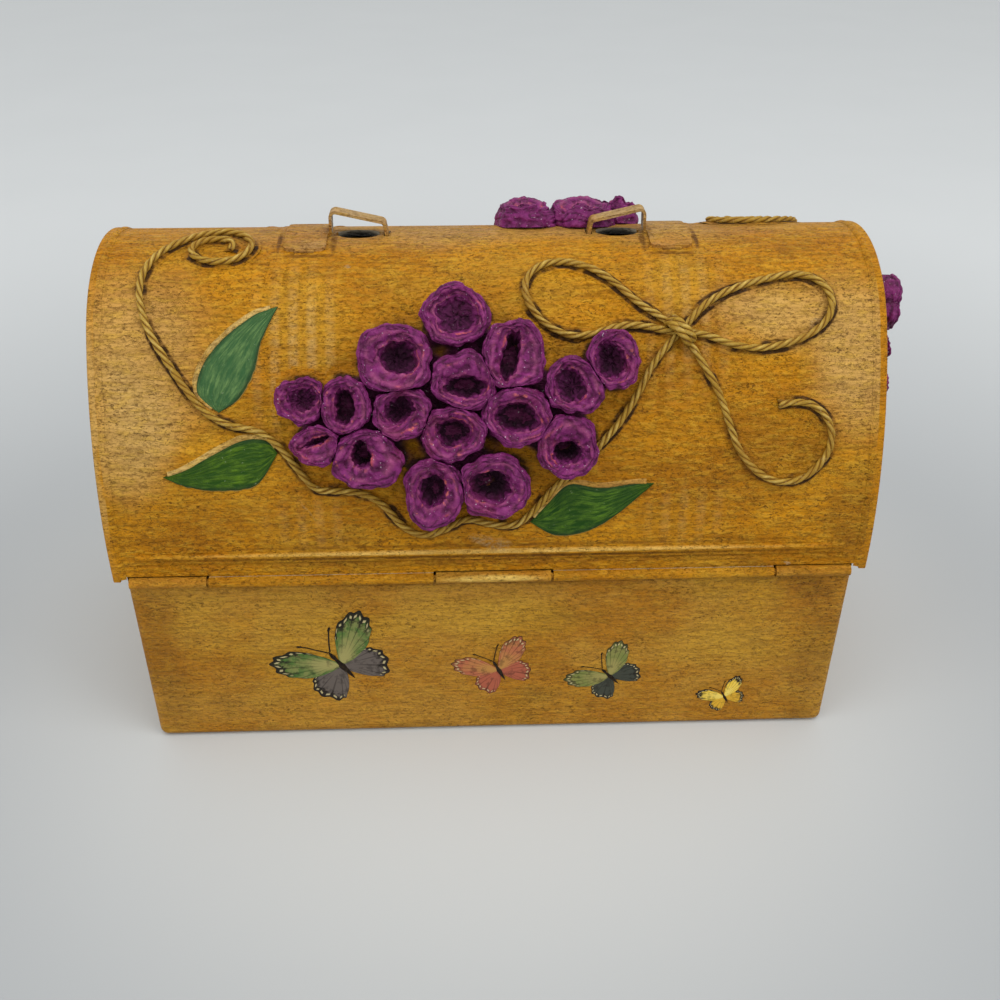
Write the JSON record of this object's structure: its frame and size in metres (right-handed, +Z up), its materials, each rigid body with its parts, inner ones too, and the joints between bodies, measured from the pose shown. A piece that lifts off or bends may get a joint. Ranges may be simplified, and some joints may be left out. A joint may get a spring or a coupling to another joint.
{
  "type": "lunch box purse",
  "caption": "Dome-topped sheet-metal box with a lid hinged along the rear seam, two front latches, handle loops and glued twine, paper flowers, leaves and butterflies.",
  "frame": {"origin": "middle of the base, between the end faces and between the front and rear of the lid's dome", "axes": "+Z up, +Y towards the latch side, -Y towards the hinge side, X along the lid"},
  "size_m": [0.2724, 0.1377, 0.1866],
  "materials": {
    "painted_sheet": "brushed, aged glaze",
    "plain_steel": "dulled",
    "twine": "twisted fibre, varnished",
    "flower_paper": "painted paper pulp",
    "leaf_paper": "painted paper, varnished",
    "butterfly_paper": "printed paper, varnished"
  },
  "bodies": {
    "base": {"body_end_left": "painted_sheet", "body_end_right": "painted_sheet", "body_wrap": "painted_sheet", "butterfly_coral": "butterfly_paper", "butterfly_green": "butterfly_paper", "butterfly_pale": "butterfly_paper", "butterfly_yellow": "butterfly_paper", "hinge_pin": "plain_steel", "latch_base_left": "plain_steel", "latch_base_right": "plain_steel", "latch_pin_left": "plain_steel", "latch_pin_right": "plain_steel", "latch_rivets": "plain_steel"},
    "lid": {"flower_crest_01": "flower_paper", "flower_crest_02": "flower_paper", "flower_crest_03": "flower_paper", "flower_end_01": "flower_paper", "flower_end_02": "flower_paper", "flower_end_03": "flower_paper", "flower_end_04": "flower_paper", "flower_rear_01": "flower_paper", "flower_rear_02": "flower_paper", "flower_rear_03": "flower_paper", "flower_rear_04": "flower_paper", "flower_rear_05": "flower_paper", "flower_rear_06": "flower_paper", "flower_rear_07": "flower_paper", "flower_rear_08": "flower_paper", "flower_rear_09": "flower_paper", "flower_rear_10": "flower_paper", "flower_rear_11": "flower_paper", "flower_rear_12": "flower_paper", "flower_rear_13": "flower_paper", "flower_rear_14": "flower_paper", "flower_rear_15": "flower_paper", "flower_rear_16": "flower_paper", "handle_bracket_left": "painted_sheet", "handle_bracket_right": "painted_sheet", "leaf_lower_left": "leaf_paper", "leaf_lower_right": "leaf_paper", "leaf_upper": "leaf_paper", "lid_dome": "painted_sheet", "lid_end_left": "painted_sheet", "lid_end_right": "painted_sheet", "twine_knot": "twine", "twine_loop_left": "twine", "twine_loop_right": "twine", "twine_scroll_front": "twine", "twine_tail": "twine", "twine_vine": "twine"},
    "hasp_left": {"latch_hasp_left": "plain_steel"},
    "hasp_right": {"latch_hasp_right": "plain_steel"}
  },
  "joints": [
    {"name": "lid_hinge", "type": "hinge", "parent": "base", "child": "lid", "pos_m": [0, -0.0614, 0.0735], "axis": [1, 0, 0], "range_deg": [0, 140]},
    {"name": "hasp_left_hinge", "type": "hinge", "parent": "base", "child": "hasp_left", "pos_m": [-0.092, 0.0622, 0.058], "axis": [1, 0, 0], "range_deg": [0, 172]},
    {"name": "hasp_right_hinge", "type": "hinge", "parent": "base", "child": "hasp_right", "pos_m": [0.092, 0.0622, 0.058], "axis": [1, 0, 0], "range_deg": [0, 172]}
  ]
}
